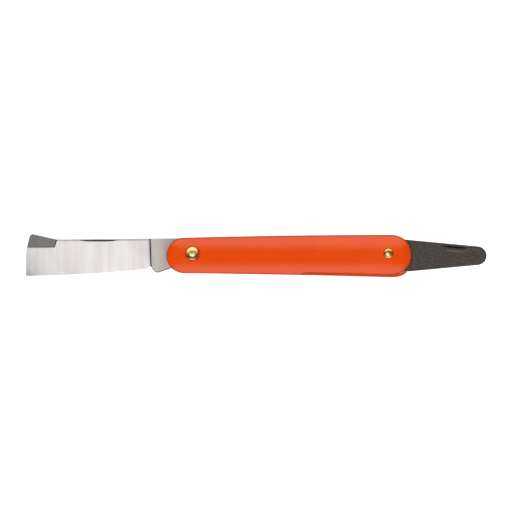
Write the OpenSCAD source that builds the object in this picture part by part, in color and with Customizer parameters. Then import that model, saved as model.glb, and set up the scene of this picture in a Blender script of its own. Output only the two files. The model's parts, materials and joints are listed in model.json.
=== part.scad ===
// Two-ended folding grafting knife, lying flat with both tools open.
// X runs along the knife, +Y is the handle's back, +Z points out of the front scale.
// The origin is under the middle of the whole knife, on the surface that it lies on.

/* [Handle] */
// Distance between the two pivot rivets
pivot_span = 88; // [84:0.5:92]
// Radius of the handle's round end, at the blade
heel_r = 7.97; // [7.7:0.01:8.2]
// How far the round end's centre lies beyond the blade rivet
heel_reach = 3.88; // [3.5:0.01:4.2]
// Half the handle's height at its wide end, at the lifter
nose_half = 9.56; // [9.2:0.02:9.8]
// How far the handle reaches beyond the lifter rivet
nose_reach = 10.33; // [10:0.01:10.8]
// How far the rivets stand above the handle's middle line, at the round end
heel_drop = 0.92; // [0.8:0.02:1]
// How far the rivets stand above the handle's middle line, at the wide end
nose_drop = 1.2; // [1.1:0.02:1.3]
// Outward bow of the handle's back
back_bow = 0.3; // [0:0.01:0.4]
// Inward bow of the handle's belly
belly_bow = 0.22; // [0:0.01:0.3]

/* [Scales] */
// Thickness of one scale at its crown
scale_t = 3.2; // [3:0.1:4]
// Radius of the crown across the handle
crown_r = 21; // [19:0.5:26]
// Width of the flat along the crown
crown_flat = 4; // [3:0.5:5]
// Radius of the fall towards both ends
end_fall_r = 20; // [16:1:26]
// Depth of the fall at both ends
end_fall = 1.6; // [1:0.1:1.8]
// Depth of the front scale's thumb relief, along its lower edge
relief = 0.95; // [0.5:0.05:1.1]
// Where the thumb relief starts
relief_x = 48; // [44:1:52]

/* [Layers] */
// Thickness of one liner
liner_t = 0.5; // [0.4:0.05:0.7]
// Thickness of the blade at its tang
blade_t = 2.3; // [2.1:0.1:2.6]
// Thickness of the bark lifter
lifter_t = 1.9; // [1.6:0.1:2.2]
// Gap on each face of a tool
side_play = 0.05; // [0.03:0.01:0.08]
// How far the liners and springs stand in from the scales' edge
edge_inset = 0.35; // [0.25:0.05:0.5]

/* [Blade] */
// Distance from the blade rivet to the blade's tip
blade_reach = 75.1; // [73:0.1:76.5]
// Height of the blade's spine above the rivet, at the handle
spine_y = 6.85; // [6.6:0.05:6.9]
// Height of the hump's top above the rivet
hump_y = 8.7; // [8.4:0.1:9]
// Thickness left at the cutting edge
edge_t = 0.3; // [0.2:0.05:0.5]
// Thickness that the grind takes on for each millimetre above the edge
grind_slope = 0.12; // [0.09:0.005:0.12]
// Angle that the blade swings from open to folded
blade_swing = 168; // [160:1:168]
// Height of the tang's two flats above its pivot
tang_flat = 4; // [3.9:0.05:4.1]

/* [Bark lifter] */
// Distance from the lifter rivet to the lifter's tip
lifter_reach = 44.2; // [42:0.2:46]
// Radius of the lifter's round tip
lifter_tip_r = 4.2; // [4:0.1:4.4]
// Thickness of the lifter at its tip
lifter_tip_t = 1.1; // [0.8:0.1:1.4]
// Angle that the lifter swings from open to folded
lifter_swing = 166; // [160:1:166]
// Height of the lifter tang's two flats above its pivot
lifter_flat = 4.4; // [4.3:0.05:4.5]

/* [Rivets] */
// Diameter of the blade rivet's pin
blade_pin_d = 3; // [2.6:0.1:3.2]
// Diameter of the blade rivet's collars
blade_collar_d = 6; // [5.6:0.1:6.2]
// Diameter of the lifter rivet's pin
lifter_pin_d = 2.4; // [2:0.1:2.6]
// Diameter of the lifter rivet's collars
lifter_collar_d = 4.3; // [3.9:0.1:4.4]
// Diameter of the springs' hidden pin
spring_pin_d = 2.5; // [2:0.1:2.8]

/* [Hidden] */
$fn = 96;

// Colours
orange = [0.91, 0.33, 0.1];
brass = [0.86, 0.7, 0.36];
steel = [0.8, 0.79, 0.78];
spring_steel = [0.6, 0.6, 0.6];
dark = [0.32, 0.29, 0.27];

// Heights of the layers, from the rear scale's crown to the front scale's
rear_liner_z = scale_t;
blade_z = rear_liner_z + liner_t;
centre_liner_z = blade_z + blade_t + 2 * side_play;
lifter_z = centre_liner_z + liner_t;
front_liner_z = lifter_z + lifter_t + 2 * side_play;
front_scale_z = front_liner_z + liner_t;
knife_t = front_scale_z + scale_t;

// Fits: radial gap of the tools on their rivets, and of fixed pins in their holes
pivot_fit = 0.03;
pin_fit = 0.02;

// The handle's two ends, seen from the front with the blade rivet at the origin
heel_c = [-heel_reach, -heel_drop];
nose_c = [pivot_span + nose_reach - nose_half, -nose_drop];
relief_ramp = 3;

// Squareness of the wide end, lower is squarer: its upper half, and its lower half at the
// rear scale and at the front scale
nose_power = 0.89;
rear_power = 0.72;
front_power = 1;

// Middle of the whole knife
knife_mid = [
    (pivot_span + lifter_reach - blade_reach) / 2,
    (hump_y - nose_drop - nose_half) / 2
];

// The springs' fulcrum, and the well that each spring leaves for its tool
spring_pin_at = [pivot_span / 2, 4.9];
boss_low = 2.15;
boss_half = 2.6;
boss_slope = 3.5;
spring_in = 4.2;
blade_well_y = 5.3;
lifter_well_y = 6.5;
nose_end = 3.95;
nose_in = 5;
tail_in = 5.5;
tail_low = -8.3;

// Blade: shoulder, plunge, tip, kick and nail nick
cam_rise = 0.6;
shoulder = 4;
hump_foot = [-61.3, 6.3];
hump_r = 1.4;
hump_in = 3.04;
front_mid = [-blade_reach + 0.1, -1.5];
tip_end = [-blade_reach, -10.15];
edge_end = [-20.3, -6.9];
choil = [-19.35, -5.55];
kick_c = [-15.6, -5.6];
kick_r = 3;
plunge_x = -18.3;
facet_low = [-62.05, 2.6];
facet_tilt = 11;
blade_nick = [-42.4, 6.1, 17.8, 0.45];

// Bark lifter: its edges fall towards the tip, and its lower one has a notch at the handle
lifter_top = 6.6;
lifter_notch = [[9.2, -8.12], [8.8, -7.92], [6.4, -7.9]];
lifter_nick = [30, 3.1, 11.4, 1.15];
lifter_nick_turn = -5.2;
nick_lean = 30;

// Rivet heads: they end below the crown, so that the knife rests on its scale
head_below = 0.1;
collar_wall = 0.7;
blade_gap = 0.3;
lifter_gap = 0.1;
blade_dome = 0.52;
lifter_dome = 0.4;
peen = 0.25;

function polar(r, a) = r * [cos(a), sin(a)];

// Points along an arc from angle a to angle b
function arc(c, r, a, b, n) = [for (i = [0:n]) c + polar(r, a + (b - a) * i / n)];

// Points between p and q, pushed to the left of the line by h at its middle
function bow(p, q, h, n) =
    let (d = (q - p) / norm(q - p))
    [for (i = [1:n - 1]) let (t = i / n) p + t * (q - p) + 4 * h * t * (1 - t) * [-d[1], d[0]]];

// A point given by its distance out from the pivot along the direction a, and across it
function on_flat(a, out, across) = polar(out, a) + polar(across, a + 90);

// Distance of a point from the line that the blade's grind starts from
function above_edge(p) =
    let (edge = edge_end - tip_end, gap = p - [plunge_x, edge_end[1]])
    (edge[0] * gap[1] - edge[1] * gap[0]) / norm(edge);

// Height of the belly at x, raised by the thumb relief where there is one
function belly(x, raise) =
    let (t = (x - heel_c[0]) / (nose_c[0] - heel_c[0]))
    heel_c[1] - heel_r + t * (nose_c[1] - nose_half - heel_c[1] + heel_r)
    + 4 * belly_bow * t * (1 - t)
    + raise * min(1, max(0, (x - relief_x) / relief_ramp));

// Outline of the handle, drawn in by inset all round
function handle_points(inset = 0, raise = 0, low_power = rear_power) =
    let (half = nose_half - inset)
    concat(
        arc(heel_c, heel_r - inset, 90, 270, 20),
        [for (i = [1:6]) let (x = relief_x * i / 6) [x, belly(x, raise) + inset]],
        [for (i = [0:5]) let (x = relief_x + relief_ramp + 6.5 * i) [x, belly(x, raise) + inset]],
        [for (a = [-90:6:90]) let (power = a < 0 ? low_power : nose_power) nose_c + [
            half * pow(cos(a), power),
            sign(a) * (half - (a < 0 ? raise : 0)) * pow(abs(sin(a)), power)
        ]],
        bow(nose_c + [0, half], heel_c + [0, heel_r - inset], -back_bow, 10)
    );

// Places what it holds in the knife's own frame
module place() {
    translate([-knife_mid[0], -knife_mid[1], 0]) children();
}

// One scale, with its inner face on Z = 0 and its crown above
module scale_half(raise, low_power) {
    crown_top = scale_t + crown_r - sqrt(crown_r * crown_r - crown_flat * crown_flat / 4);
    difference() {
        intersection() {
            linear_extrude(scale_t) polygon(handle_points(0, raise, low_power));
            translate([-20, 0, 0]) rotate([90, 0, 90]) linear_extrude(pivot_span + 40)
                crown_section(crown_top);
            translate([0, 20, 0]) rotate([90, 0, 0]) linear_extrude(40) end_section();
        }
        rivet_seat(0, blade_pin_d, blade_collar_d + 2 * blade_gap, blade_dome);
        rivet_seat(pivot_span, lifter_pin_d, lifter_collar_d + 2 * lifter_gap, lifter_dome);
        translate([spring_pin_at[0], spring_pin_at[1], -1])
            cylinder(h = 2, d = spring_pin_d + 2 * pin_fit);
    }
}

// Section across a scale: a round crown with a narrow flat
module crown_section(crown_top) {
    intersection() {
        translate([knife_mid[1], crown_top - crown_r]) circle(r = crown_r, $fn = 180);
        translate([-20, 0]) square([40, scale_t]);
    }
}

// Section along a scale: level in the middle, falling towards both ends
module end_section() {
    fall = acos(1 - end_fall / end_fall_r);
    left = heel_c[0] - heel_r;
    right = pivot_span + nose_reach;
    in = end_fall_r * sin(fall);
    polygon(concat(
        [[left, 0], [right, 0]],
        arc([right - in, scale_t - end_fall_r], end_fall_r, 90 - fall, 90, 8),
        arc([left + in, scale_t - end_fall_r], end_fall_r, 90, 90 + fall, 8)
    ));
}

// Hole and counterbore for a rivet, cut into a scale
module rivet_seat(x, pin_d, bore_d, dome) {
    translate([x, 0, -1]) cylinder(h = scale_t + 2, d = pin_d + 2 * pin_fit);
    translate([x, 0, scale_t - head_below - dome - collar_wall]) cylinder(h = 5, d = bore_d);
}

// A liner, pierced for the three pins
module liner(z, low_power) {
    translate([0, 0, z]) difference() {
        linear_extrude(liner_t) polygon(handle_points(edge_inset, relief, low_power));
        pin_holes();
    }
}

module pin_holes() {
    translate([0, 0, -1]) cylinder(h = 8, d = blade_pin_d + 2 * pin_fit);
    translate([pivot_span, 0, -1]) cylinder(h = 8, d = lifter_pin_d + 2 * pin_fit);
    translate([spring_pin_at[0], spring_pin_at[1], -1])
        cylinder(h = 8, d = spring_pin_d + 2 * pin_fit);
}

// A spring: what is left of the handle's outline round the well for its tool
module spring(z, t, well) {
    translate([0, 0, z]) difference() {
        linear_extrude(t) difference() {
            polygon(handle_points(edge_inset));
            polygon(well);
        }
        pin_holes();
    }
}

// Underside of both springs' boss, from the side at x = -boss_half to the other
function boss(from_y, to_y) = [
    [spring_pin_at[0] - boss_half - boss_slope, from_y],
    [spring_pin_at[0] - boss_half, boss_low],
    [spring_pin_at[0] + boss_half, boss_low],
    [spring_pin_at[0] + boss_half + boss_slope, to_y]
];

// Well in front of the blade spring: nose, kick clearance, boss and tail
blade_well = concat(
    [[-40, 20], [-nose_end, 20], [-nose_end, tang_flat], [nose_in, tang_flat],
     [nose_in + 2, blade_well_y]],
    boss(blade_well_y, spring_in),
    [[pivot_span - tail_in, spring_in], [pivot_span - tail_in, tail_low],
     [pivot_span + 40, tail_low], [pivot_span + 40, -20], [-40, -20]]
);

// Well in front of the lifter spring, from the other end
lifter_well = concat(
    [[-40, -20], [tail_in, -20], [tail_in, spring_in]],
    boss(spring_in, spring_in + 1.2),
    [[pivot_span - 12, lifter_well_y], [pivot_span - nose_in - 1.5, lifter_well_y],
     [pivot_span - nose_in, lifter_flat], [pivot_span + nose_end, lifter_flat],
     [pivot_span + nose_end, 20], [pivot_span + 40, 20], [pivot_span + 40, -20]]
);

// Blade outline, from the shoulder round the tip and the kick to the tang's cam
blade_points =
    let (
        hump_c = [-blade_reach + hump_in, hump_y - hump_r],
        hump_side = hump_c + polar(hump_r, 165),
        shut = 90 - blade_swing,
        cam_r = tang_flat + cam_rise,
        cam_turn = acos(tang_flat / cam_r)
    )
    concat(
        [[-shoulder, tang_flat], [-shoulder, spine_y], hump_foot],
        arc(hump_c, hump_r, 76, 165, 10),
        bow(hump_side, front_mid, -0.28, 6),
        [front_mid, tip_end],
        bow(tip_end, edge_end, -0.6, 12),
        [edge_end, choil],
        arc(kick_c, kick_r, 190, 275, 8),
        [on_flat(shut, tang_flat, -6.9)],
        arc([0, 0], cam_r, shut + cam_turn, 90 - cam_turn, 14)
    );

// Lifter outline about its own pivot, from the shoulder round the tip to the cam
lifter_points =
    let (
        tip_c = [lifter_reach - lifter_tip_r, -1],
        shut = 90 + lifter_swing,
        cam_r = lifter_flat + cam_rise,
        cam_turn = acos(lifter_flat / cam_r)
    )
    concat(
        [[shoulder, lifter_flat], [shoulder, lifter_top]],
        arc(tip_c, lifter_tip_r, 84, -84, 16),
        lifter_notch,
        [on_flat(shut, lifter_flat, 6.2)],
        arc([0, 0], cam_r, shut - cam_turn, 90 + cam_turn, 14)
    );

// Cutter for a nail nick, leaning back from its steep wall. at = [x, wall y, length, depth]
module nick(at, z) {
    half = at[2] / 2;
    above = 2;
    translate([at[0], at[1], z]) rotate([90 - nick_lean, 0, 0]) linear_extrude(3) polygon(concat(
        [for (u = [-1:0.1:1]) [half * u, at[3] * (pow(u, 4) - 1)]],
        [[half, above], [-half, above]]
    ));
}

module rear_scale() {
    color(orange) place() translate([0, 0, scale_t]) mirror([0, 0, 1])
        scale_half(0, rear_power);
}

module front_scale() {
    color(orange) place() translate([0, 0, front_scale_z]) scale_half(relief, front_power);
}

module rear_liner() {
    color(steel) place() liner(rear_liner_z, rear_power);
}

module centre_liner() {
    color(steel) place() liner(centre_liner_z, front_power);
}

module front_liner() {
    color(steel) place() liner(front_liner_z, front_power);
}

module blade() {
    edge = edge_end - tip_end;
    edge_turn = atan2(edge[1], edge[0]);
    spine_back = 20;
    color(steel) place() translate([0, 0, blade_z + side_play]) difference() {
        linear_extrude(blade_t) polygon(blade_points);
        translate([0, 0, -1]) cylinder(h = 5, d = blade_pin_d + 2 * pivot_fit);
        // one-sided grind, from the plunge line to beyond the tip
        translate([plunge_x, edge_end[1], 0]) rotate([0, 0, edge_turn]) translate([-70, 0, 0])
            rotate([90, 0, 90]) linear_extrude(70) polygon([
                [-spine_back, edge_t - spine_back * grind_slope], [-spine_back, 9],
                [spine_back, 9], [spine_back, edge_t + spine_back * grind_slope]
            ]);
        // bevel of the hump, which lifts bark
        translate([facet_low[0], facet_low[1], edge_t + above_edge(facet_low) * grind_slope])
            rotate([-facet_tilt, 0, 0]) linear_extrude(9)
                polygon([[-30, 0], [0, 0], [1.2, 4.3], [2.4, 8.6], [-30, 8.6]]);
        nick(blade_nick, edge_t + above_edge([blade_nick[0], blade_nick[1]]) * grind_slope);
    }
}

module bark_lifter() {
    taper = atan((lifter_t - lifter_tip_t) / 2 / (lifter_reach - 14));
    color(dark) place() translate([pivot_span, 0, lifter_z + side_play]) difference() {
        linear_extrude(lifter_t) polygon(lifter_points);
        translate([0, 0, -1]) cylinder(h = 5, d = lifter_pin_d + 2 * pivot_fit);
        // both faces taper towards the tip
        translate([14, -20, lifter_t]) rotate([0, taper, 0]) cube([40, 40, 3]);
        translate([14, -20, 0]) rotate([0, -taper, 0]) translate([0, 0, -3]) cube([40, 40, 3]);
        translate([lifter_nick[0], lifter_nick[1], 0]) rotate([0, 0, lifter_nick_turn])
            translate([-lifter_nick[0], -lifter_nick[1], 0]) nick(lifter_nick, lifter_t - 0.2);
    }
}

module blade_spring() {
    color(spring_steel) place() spring(blade_z, blade_t + 2 * side_play, blade_well);
}

module lifter_spring() {
    color(spring_steel) place() spring(lifter_z, lifter_t + 2 * side_play, lifter_well);
}

// Pin of a rivet, peened to a low dome at both ends
module rivet_pin(x, pin_d) {
    r = pin_d / 2;
    low = head_below - 0.05;
    dome_r = (r * r + peen * peen) / (2 * peen);
    color(brass) place() translate([x, 0, 0]) intersection() {
        translate([0, 0, low]) cylinder(h = knife_t - 2 * low, r = r);
        translate([0, 0, knife_t - low - dome_r]) ball_end(dome_r);
        translate([0, 0, low + dome_r]) mirror([0, 0, 1]) ball_end(dome_r);
    }
}

// A sphere with a long round bar below its middle, wider than any pin
module ball_end(r) {
    rotate_extrude() union() {
        intersection() {
            circle(r = r);
            square([r, r]);
        }
        translate([0, -2 * knife_t]) square([r, 2 * knife_t]);
    }
}

// Domed collar that a pin is peened over, with its seat on Z = 0
module collar(pin_d, collar_d, dome) {
    r = collar_d / 2;
    dome_r = (r * r + dome * dome) / (2 * dome);
    difference() {
        intersection() {
            cylinder(h = collar_wall + dome, r = r);
            translate([0, 0, collar_wall + dome - dome_r]) sphere(r = dome_r, $fn = 180);
        }
        translate([0, 0, -1]) cylinder(h = 5, d = pin_d + 2 * pin_fit);
    }
}

module collar_at(x, front, pin_d, collar_d, dome) {
    seat = head_below + collar_wall + dome;
    color(brass) place() translate([x, 0, front ? knife_t - seat : seat])
        mirror([0, 0, front ? 0 : 1]) collar(pin_d, collar_d, dome);
}

module blade_rivet() {
    rivet_pin(0, blade_pin_d);
}

module blade_rivet_collar_front() {
    collar_at(0, true, blade_pin_d, blade_collar_d, blade_dome);
}

module blade_rivet_collar_rear() {
    collar_at(0, false, blade_pin_d, blade_collar_d, blade_dome);
}

module lifter_rivet() {
    rivet_pin(pivot_span, lifter_pin_d);
}

module lifter_rivet_collar_front() {
    collar_at(pivot_span, true, lifter_pin_d, lifter_collar_d, lifter_dome);
}

module lifter_rivet_collar_rear() {
    collar_at(pivot_span, false, lifter_pin_d, lifter_collar_d, lifter_dome);
}

module spring_pin() {
    reach = 0.9;
    color(brass) place() translate([spring_pin_at[0], spring_pin_at[1], scale_t - reach])
        cylinder(h = front_scale_z - scale_t + 2 * reach, d = spring_pin_d);
}

rear_scale();
rear_liner();
blade();
blade_spring();
centre_liner();
bark_lifter();
lifter_spring();
front_liner();
front_scale();
spring_pin();
blade_rivet();
blade_rivet_collar_front();
blade_rivet_collar_rear();
lifter_rivet();
lifter_rivet_collar_front();
lifter_rivet_collar_rear();
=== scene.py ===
"""Looks of the two-ended grafting knife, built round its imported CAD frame.

Plans are drawn in millimetres in the CAD's frame, and become metres when a mesh is made.
"""
import json
import math

import bmesh
import bpy
import numpy as np
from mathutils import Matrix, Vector
from mathutils.geometry import delaunay_2d_cdt
from mathutils.kdtree import KDTree


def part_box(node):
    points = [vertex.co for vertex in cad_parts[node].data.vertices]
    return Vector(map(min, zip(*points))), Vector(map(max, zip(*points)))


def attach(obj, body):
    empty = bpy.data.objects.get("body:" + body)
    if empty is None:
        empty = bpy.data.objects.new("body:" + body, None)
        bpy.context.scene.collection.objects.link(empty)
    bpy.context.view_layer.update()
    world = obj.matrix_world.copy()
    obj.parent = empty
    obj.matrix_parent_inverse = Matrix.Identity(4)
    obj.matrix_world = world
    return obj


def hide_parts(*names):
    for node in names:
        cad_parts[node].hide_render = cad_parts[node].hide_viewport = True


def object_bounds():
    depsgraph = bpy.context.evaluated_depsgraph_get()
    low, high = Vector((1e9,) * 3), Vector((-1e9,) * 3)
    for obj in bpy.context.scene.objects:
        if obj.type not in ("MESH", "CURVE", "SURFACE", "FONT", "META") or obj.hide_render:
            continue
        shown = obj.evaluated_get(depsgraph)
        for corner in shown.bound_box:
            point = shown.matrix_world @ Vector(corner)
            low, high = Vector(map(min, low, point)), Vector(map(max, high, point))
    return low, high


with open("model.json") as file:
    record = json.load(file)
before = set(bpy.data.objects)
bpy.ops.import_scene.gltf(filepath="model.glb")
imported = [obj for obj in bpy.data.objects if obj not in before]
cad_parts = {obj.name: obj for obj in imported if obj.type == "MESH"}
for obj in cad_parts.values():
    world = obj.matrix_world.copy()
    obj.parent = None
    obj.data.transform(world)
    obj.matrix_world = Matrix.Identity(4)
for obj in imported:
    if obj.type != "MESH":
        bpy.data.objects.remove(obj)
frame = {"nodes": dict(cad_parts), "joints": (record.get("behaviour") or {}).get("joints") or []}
CAD_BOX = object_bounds()

MM = 0.001
JOINTS = {joint["name"]: joint for joint in frame["joints"]}


# ---- places, from the frame

def box_mm(node):
    """Lowest and highest corner of a CAD node, in millimetres."""
    low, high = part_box(node)
    return np.array(low) / MM, np.array(high) / MM


def pivot_mm(joint):
    """Where a joint's axis stands in the plan, in millimetres."""
    return np.array(JOINTS[joint]["pos_m"][:2]) / MM


BLADE_AT = pivot_mm("blade_fold")
LIFTER_AT = pivot_mm("lifter_fold")
REAR_LOW, REAR_HIGH = box_mm("rear_scale")
FRONT_LOW, FRONT_HIGH = box_mm("front_scale")
BLADE_LOW, BLADE_HIGH = box_mm("blade")
LIFTER_LOW, LIFTER_HIGH = box_mm("bark_lifter")

# Handle: round heel at the blade, blunt nose at the lifter, bowed back and belly, thumb relief
HEEL_R = 7.97
HEEL_DROP = 0.92
BACK_BOW = 0.3
BELLY_BOW = 0.22
NOSE_POWER = 0.89
REAR_POWER = 0.72
FRONT_POWER = 1.0
RELIEF = FRONT_LOW[1] - REAR_LOW[1]
RELIEF_X = BLADE_AT[0] + 48
RELIEF_RAMP = 3.0
RELIEF_DRAFT = 11.0
BELLY_STEP = 1.0
NOSE_HALF = (REAR_HIGH[1] - REAR_LOW[1]) / 2
HEEL_C = np.array([REAR_LOW[0] + HEEL_R, BLADE_AT[1] - HEEL_DROP])
NOSE_C = np.array([REAR_HIGH[0] - NOSE_HALF, (REAR_HIGH[1] + REAR_LOW[1]) / 2])

# Scales: crown across, fall at the ends, rounded edges
CROWN_R = 21.0
CROWN_DROP = 0.095
CROWN_EASE = 0.05
END_FALL_R = 20.0
END_FALL_IN = 7.84
FALL_POWER = 1.6
EDGE_ROUND = 0.85
BORE_ROUND = 0.15
EDGE_TURNS = (18, 36, 54, 72, 90)
CROWN_RINGS = [1.1, 1.8, 2.7, 3.8]

# Rivets. pin, collar and bore are radii, and seat is how far a collar's seat lies below its crown.
# dome and peen are the rises of a collar's and a pin's dome, and groove is the gap between the two.
# lean and pin_lean are the slopes in X and Y that hand peening has left on their heads.
BLADE_RIVET = {"pin": 1.5, "collar": 3.0, "bore": 3.3, "seat": 1.22, "dome": 0.52, "groove": 0.03,
               "lean": (0.07, 0.13), "peen": 0.13, "pin_lean": (0.11, -0.07)}
LIFTER_RIVET = {"pin": 1.2, "collar": 2.15, "bore": 2.25, "seat": 1.1, "dome": 0.4, "groove": 0.22,
                "lean": (0.02, 0.04), "peen": 0.16, "pin_lean": (0.16, -0.12)}
HEAD_BELOW = 0.1  # of a collar's crown, below its scale's
PIN_FIT = 0.02  # between a pin and its collar or scale
PIVOT_FIT = 0.03  # between a pin and the tool that turns on it


# ---- plan geometry

def polar(r, degrees):
    """The point at a radius and an angle from the origin."""
    turn = math.radians(degrees)
    return np.array([r * math.cos(turn), r * math.sin(turn)])


def arc(centre, r, start, end, steps):
    """Points along an arc, from one angle to another."""
    return [centre + polar(r, start + (end - start) * i / steps) for i in range(steps + 1)]


def straight(p, q, steps):
    """Points between two others."""
    return [p + (q - p) * i / steps for i in range(1, steps)]


def bow(p, q, height, steps):
    """Points between p and q, pushed to the left of the line by height at its middle."""
    along = (q - p) / np.linalg.norm(q - p)
    left = np.array([-along[1], along[0]])
    shares = [i / steps for i in range(1, steps)]
    return [p + t * (q - p) + 4 * height * t * (1 - t) * left for t in shares]


def smooth_step(value):
    """A soft change from 0 to 1."""
    t = np.clip(value, 0, 1)
    return t * t * (3 - 2 * t)


def inside(points, outline):
    """True for each point that lies inside a closed outline."""
    x, y = points[:, 0], points[:, 1]
    found = np.zeros(len(points), bool)
    for (ax, ay), (bx, by) in zip(outline, np.roll(outline, -1, axis=0)):
        if ay == by:
            continue
        spans = (ay > y) != (by > y)
        found ^= spans & (x < (bx - ax) * (y - ay) / (by - ay) + ax)
    return found


def distance_to(points, line, closed=True):
    """Distance from each point to a line of straight pieces."""
    line = np.asarray(line)
    ends = np.roll(line, -1, axis=0) if closed else line[1:]
    starts = line if closed else line[:-1]
    best = np.full(len(points), 1e9)
    for start, end in zip(starts, ends):
        step = end - start
        share = np.clip((points - start) @ step / (step @ step), 0, 1)
        gap = np.linalg.norm(points - start - share[:, None] * step, axis=1)
        best = np.minimum(best, gap)
    return best


def inset(outline, depth):
    """The outline's points, moved inwards. The outline runs anticlockwise."""
    before, after = np.roll(outline, 1, axis=0), np.roll(outline, -1, axis=0)
    along = after - before
    along /= np.linalg.norm(along, axis=1)[:, None]
    return outline + depth * np.stack([-along[:, 1], along[:, 0]], axis=1)


def grid_points(low, high, spacing):
    """Points of a staggered grid between two corners."""
    xs = np.arange(low[0] + spacing / 2, high[0], spacing)
    ys = np.arange(low[1] + spacing / 2, high[1], spacing)
    grid = np.stack(np.meshgrid(xs, ys), axis=-1).reshape(-1, 2)
    rows = np.round((grid[:, 1] - low[1]) / spacing).astype(int)
    grid[:, 0] += (rows % 2) * spacing * 0.5
    return grid


def keep_clear(points, outline, holes, depth, margin):
    """Those points that lie deeper than depth in the outline and clear of every hole."""
    points = points[inside(points, outline)]
    points = points[distance_to(points, outline) > depth]
    for centre, radius in holes:
        points = points[np.linalg.norm(points - centre, axis=1) > radius + margin]
    return points


# ---- mesh builders

HOLE_STEPS = 72
TURN_STEPS = 96
SHARP_TURNED = 35.0
SAME_PLACE = 1e-8  # metres
NEAR = 1e-3
BORE_RINGS = (0.03, 0.08, 0.16, 0.4, 0.8)
BORE_RING_DEPTH = 0.2  # least depth of a bore's rings in the outline
BORE_CLEAR = 0.8  # distance of all other points from a bore
RING_KEEP = 0.93  # share of its depth that a ring's point has to keep


def make_object(name, vertices, faces, sharp):
    """A smooth mesh object from millimetre points, with edges above sharp degrees left sharp."""
    mesh = bpy.data.meshes.new(name)
    mesh.from_pydata([Vector(v) * MM for v in vertices], [], faces)
    work = bmesh.new()
    work.from_mesh(mesh)
    unused = [vertex for vertex in work.verts if not vertex.link_faces]
    bmesh.ops.delete(work, geom=unused, context="VERTS")
    bmesh.ops.remove_doubles(work, verts=work.verts, dist=SAME_PLACE)
    bmesh.ops.dissolve_degenerate(work, edges=work.edges, dist=SAME_PLACE)
    bmesh.ops.recalc_face_normals(work, faces=work.faces)
    work.to_mesh(mesh)
    work.free()
    mesh.shade_smooth()
    mesh.set_sharp_from_angle(angle=math.radians(sharp))
    made = bpy.data.objects.new(name, mesh)
    bpy.context.scene.collection.objects.link(made)
    return made


def circle(centre, r):
    """Points of a bore's rim."""
    return np.array(arc(centre, r, 0, 360, HOLE_STEPS)[:-1])


def finder(points, first):
    """A function that gives the vertex nearest to a place in the plan."""
    tree = KDTree(len(points))
    for i, (x, y) in enumerate(points):
        tree.insert((x, y, 0), first + i)
    tree.balance()
    return lambda place: tree.find((place[0], place[1], 0))[1]


def plan_sheet(outline, holes, lines, loose):
    """Triangles over the outline less its holes, with every line kept as an edge."""
    points, edges = [], []

    def add_run(run, closed):
        first = len(points)
        points.extend(run)
        edges.extend((first + i, first + i + 1) for i in range(len(run) - 1))
        if closed:
            edges.append((first + len(run) - 1, first))

    add_run(outline, True)
    for centre, radius in holes:
        add_run(circle(centre, radius), True)
    for line in lines:
        add_run(line, False)
    points.extend(loose)
    found = delaunay_2d_cdt([Vector(p) for p in points], edges, [], 0, 1e-5, False)
    places = np.array([[v.x, v.y] for v in found[0]])
    triangles = np.array([list(f) for f in found[2]])
    middles = places[triangles].mean(axis=1)
    kept = inside(middles, outline)
    for centre, radius in holes:
        inner = radius * math.cos(math.pi / HOLE_STEPS)
        kept &= np.linalg.norm(middles - centre, axis=1) > inner
    return places, triangles[kept]


def outer_edges(triangles):
    """Edges that belong to one triangle only."""
    count = {}
    for a, b, c in triangles.tolist():
        for edge in ((a, b), (b, c), (c, a)):
            mark = tuple(sorted(edge))
            count[mark] = None if mark in count else edge
    return [edge for edge in count.values() if edge]


def sheet_points(outline, holes, loose, rings, grid):
    """Inner points of a sheet: loose ones, rings along its outline and holes, and a filling grid."""
    found = list(loose)
    for depth in rings:
        found.append(keep_clear(inset(outline, depth), outline, holes, depth * RING_KEEP, BORE_CLEAR))
    for centre, radius in holes:
        around = np.concatenate([circle(centre, radius + step) for step in BORE_RINGS])
        found.append(keep_clear(around, outline, [], BORE_RING_DEPTH, 0))
    filler = grid_points(outline.min(axis=0), outline.max(axis=0), grid)
    found.append(keep_clear(filler, outline, holes, max(rings) + grid * 0.5, BORE_CLEAR + grid * 0.4))
    return np.concatenate(found)


def band_faces(loops):
    """Faces between each closed loop of vertices and the next. A loop may be one vertex repeated."""
    faces = []
    for upper, lower in zip(loops, loops[1:]):
        for i in range(len(upper)):
            j = (i + 1) % len(upper)
            corners = [upper[i], upper[j], lower[j], lower[i]]
            faces.append(list(dict.fromkeys(corners)))
    return faces


def bore_faces(vertices, centre, profile, top_at, low_at):
    """Faces of a bore's wall between the two sheets. The wall's own vertices are added."""
    loops = [[top_at(p) for p in circle(centre, profile[0][0])]]
    for radius, z in profile[1:-1]:
        first = len(vertices)
        vertices.extend([x, y, z] for x, y in circle(centre, radius))
        loops.append(list(range(first, first + HOLE_STEPS)))
    loops.append([low_at(p) for p in circle(centre, profile[-1][0])])
    return band_faces(loops)


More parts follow.
